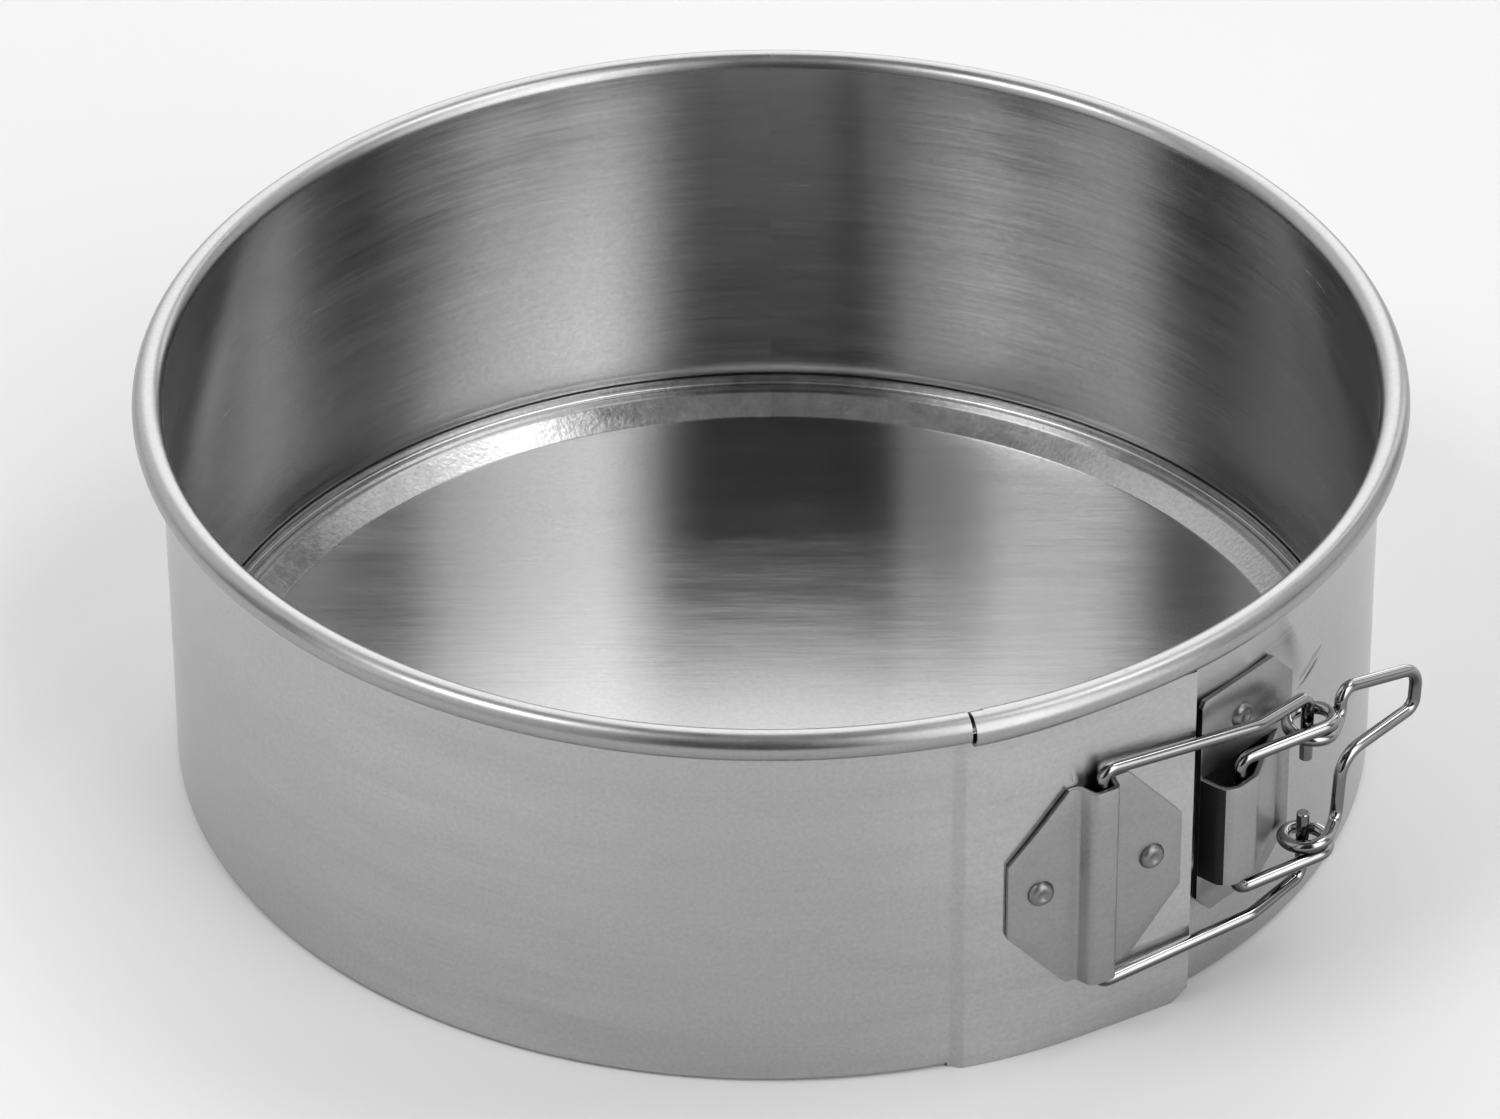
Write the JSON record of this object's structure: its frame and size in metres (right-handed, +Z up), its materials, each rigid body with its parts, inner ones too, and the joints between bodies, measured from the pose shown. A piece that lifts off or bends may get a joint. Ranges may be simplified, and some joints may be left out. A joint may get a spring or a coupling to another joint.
{
  "type": "springform pan",
  "caption": "Round springform cake pan: tinplate band with a rolled rim and a wire over-centre latch, closed round a loose dished base.",
  "frame": {"origin": "centre of the pan, on the surface it stands on", "axes": "+Z up along the pan's axis, out of its open top; -Y the side seen in the picture; +X towards the latch"},
  "size_m": [0.2134, 0.2134, 0.071],
  "materials": {
    "tinplate": "satin tinplate",
    "wire": "bright drawn wire, plated",
    "rivet": "satin, plated"
  },
  "bodies": {
    "band": {"side_band": "tinplate", "lever_bracket": "tinplate", "lever_rivet_upper": "rivet", "lever_rivet_lower": "rivet"},
    "base": {"base_disc": "tinplate"},
    "flap_end": {"link_bracket": "tinplate", "link_rivet_left": "rivet", "link_rivet_right": "rivet"},
    "link": {"link_wire": "wire"},
    "lever": {"lever_wire": "wire"}
  },
  "joints": [
    {"name": "base_lift", "type": "slide", "parent": "band", "child": "base", "axis": [0, 0, 1], "range_m": [0, 0.09]},
    {"name": "band_spring", "type": "hinge", "parent": "band", "child": "flap_end", "pos_m": [0, 0, 0], "axis": [0, 0, -1], "range_deg": [0, 3.03], "deforming": ["side_band"]},
    {"name": "link_pivot", "type": "hinge", "parent": "flap_end", "child": "link", "pos_m": [0.0525, -0.09093, 0.0325], "axis": [0, 0, -1], "range_deg": [0, 18.87]},
    {"name": "lever_swing", "type": "hinge", "parent": "link", "child": "lever", "pos_m": [0.0867, -0.0655, 0.0325], "axis": [0, 0, -1], "range_deg": [0, 53.13]}
  ],
  "couplings": [
    {"joint": "band_spring", "follows": "lever_swing", "ratio": 0.05675},
    {"joint": "link_pivot", "follows": "lever_swing", "ratio": 0.35488}
  ]
}
